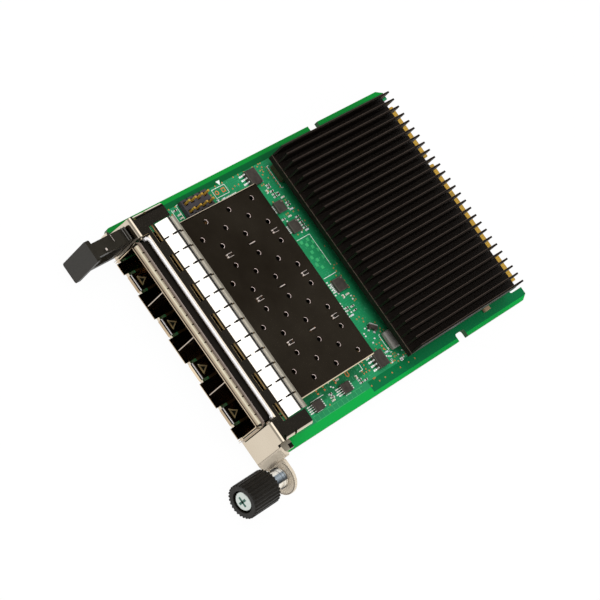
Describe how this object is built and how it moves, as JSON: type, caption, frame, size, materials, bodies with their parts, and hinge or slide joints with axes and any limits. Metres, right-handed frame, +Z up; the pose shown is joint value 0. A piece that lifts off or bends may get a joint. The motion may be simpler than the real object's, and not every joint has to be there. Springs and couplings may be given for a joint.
{
  "type": "mezzanine network card",
  "caption": "Mezzanine network card: green board with a shielded port cage, finned black heat sink, folded faceplate, pull tab and captive spring thumbscrew.",
  "frame": {"origin": "centre of the circuit board's underside", "axes": "+X across the card towards the thumbscrew, +Y from the faceplate towards the card edge, +Z up through the component side"},
  "size_m": [0.0854, 0.1332, 0.0167],
  "materials": {
    "solder_mask": "satin",
    "tin_plate": "satin",
    "nickel_plate": "satin",
    "spring_steel": "polished",
    "bright_steel": "polished",
    "steel": "satin",
    "black_anodise": "matte",
    "black_plastic": "matte",
    "epoxy": "matte",
    "gold": "polished",
    "substrate": "matte",
    "thermal_pad": "matte",
    "ceramic": "matte",
    "ferrite": "satin"
  },
  "bodies": {
    "card": {"bracket": "nickel_plate", "bracket_screw_1": "steel", "bracket_screw_2": "steel", "bulk_capacitor": "ceramic", "cage_collar": "spring_steel", "cage_divider_1": "tin_plate", "cage_divider_2": "tin_plate", "cage_divider_3": "tin_plate", "cage_floor": "tin_plate", "cage_shell": "tin_plate", "circuit_board": "solder_mask", "clock_chip": "epoxy", "controller_lid": "steel", "controller_substrate": "substrate", "finger_strip": "spring_steel", "flash_chip": "epoxy", "header_housing": "black_plastic", "header_pin_1": "gold", "header_pin_2": "gold", "header_pin_3": "gold", "header_pin_4": "gold", "header_pin_5": "gold", "header_pin_6": "gold", "header_pin_7": "gold", "header_pin_8": "gold", "heatsink": "black_anodise", "heatsink_screw_1": "steel", "heatsink_screw_2": "steel", "heatsink_screw_3": "steel", "heatsink_screw_4": "steel", "host_connector_1": "black_plastic", "host_connector_2": "black_plastic", "host_connector_3": "black_plastic", "host_connector_4": "black_plastic", "inductor_left": "ferrite", "inductor_right": "ferrite", "monitor_chip": "epoxy", "pull_tab": "black_plastic", "regulator_left": "epoxy", "regulator_right": "epoxy", "retimer_chip": "epoxy", "screw_ferrule": "bright_steel", "switch_chip": "epoxy", "tab_rivet_1": "steel", "tab_rivet_2": "steel", "thermal_pad": "thermal_pad", "transistor": "epoxy"},
    "screw_carrier": {"screw_spring": "spring_steel"},
    "captive_thumbscrew": {"thumbscrew_knob": "black_plastic", "thumbscrew": "steel"}
  },
  "joints": [
    {"name": "thumbscrew_press", "type": "slide", "parent": "card", "child": "screw_carrier", "axis": [0, 1, 0], "range_m": [0, 0.0024], "stiffness_N_per_m": 600, "springref_m": -0.002, "deforming": ["screw_spring"]},
    {"name": "thumbscrew_turn", "type": "hinge", "parent": "screw_carrier", "child": "captive_thumbscrew", "pos_m": [0.0423, -0.0622, 0.00217], "axis": [0, 1, 0], "continuous": true}
  ]
}
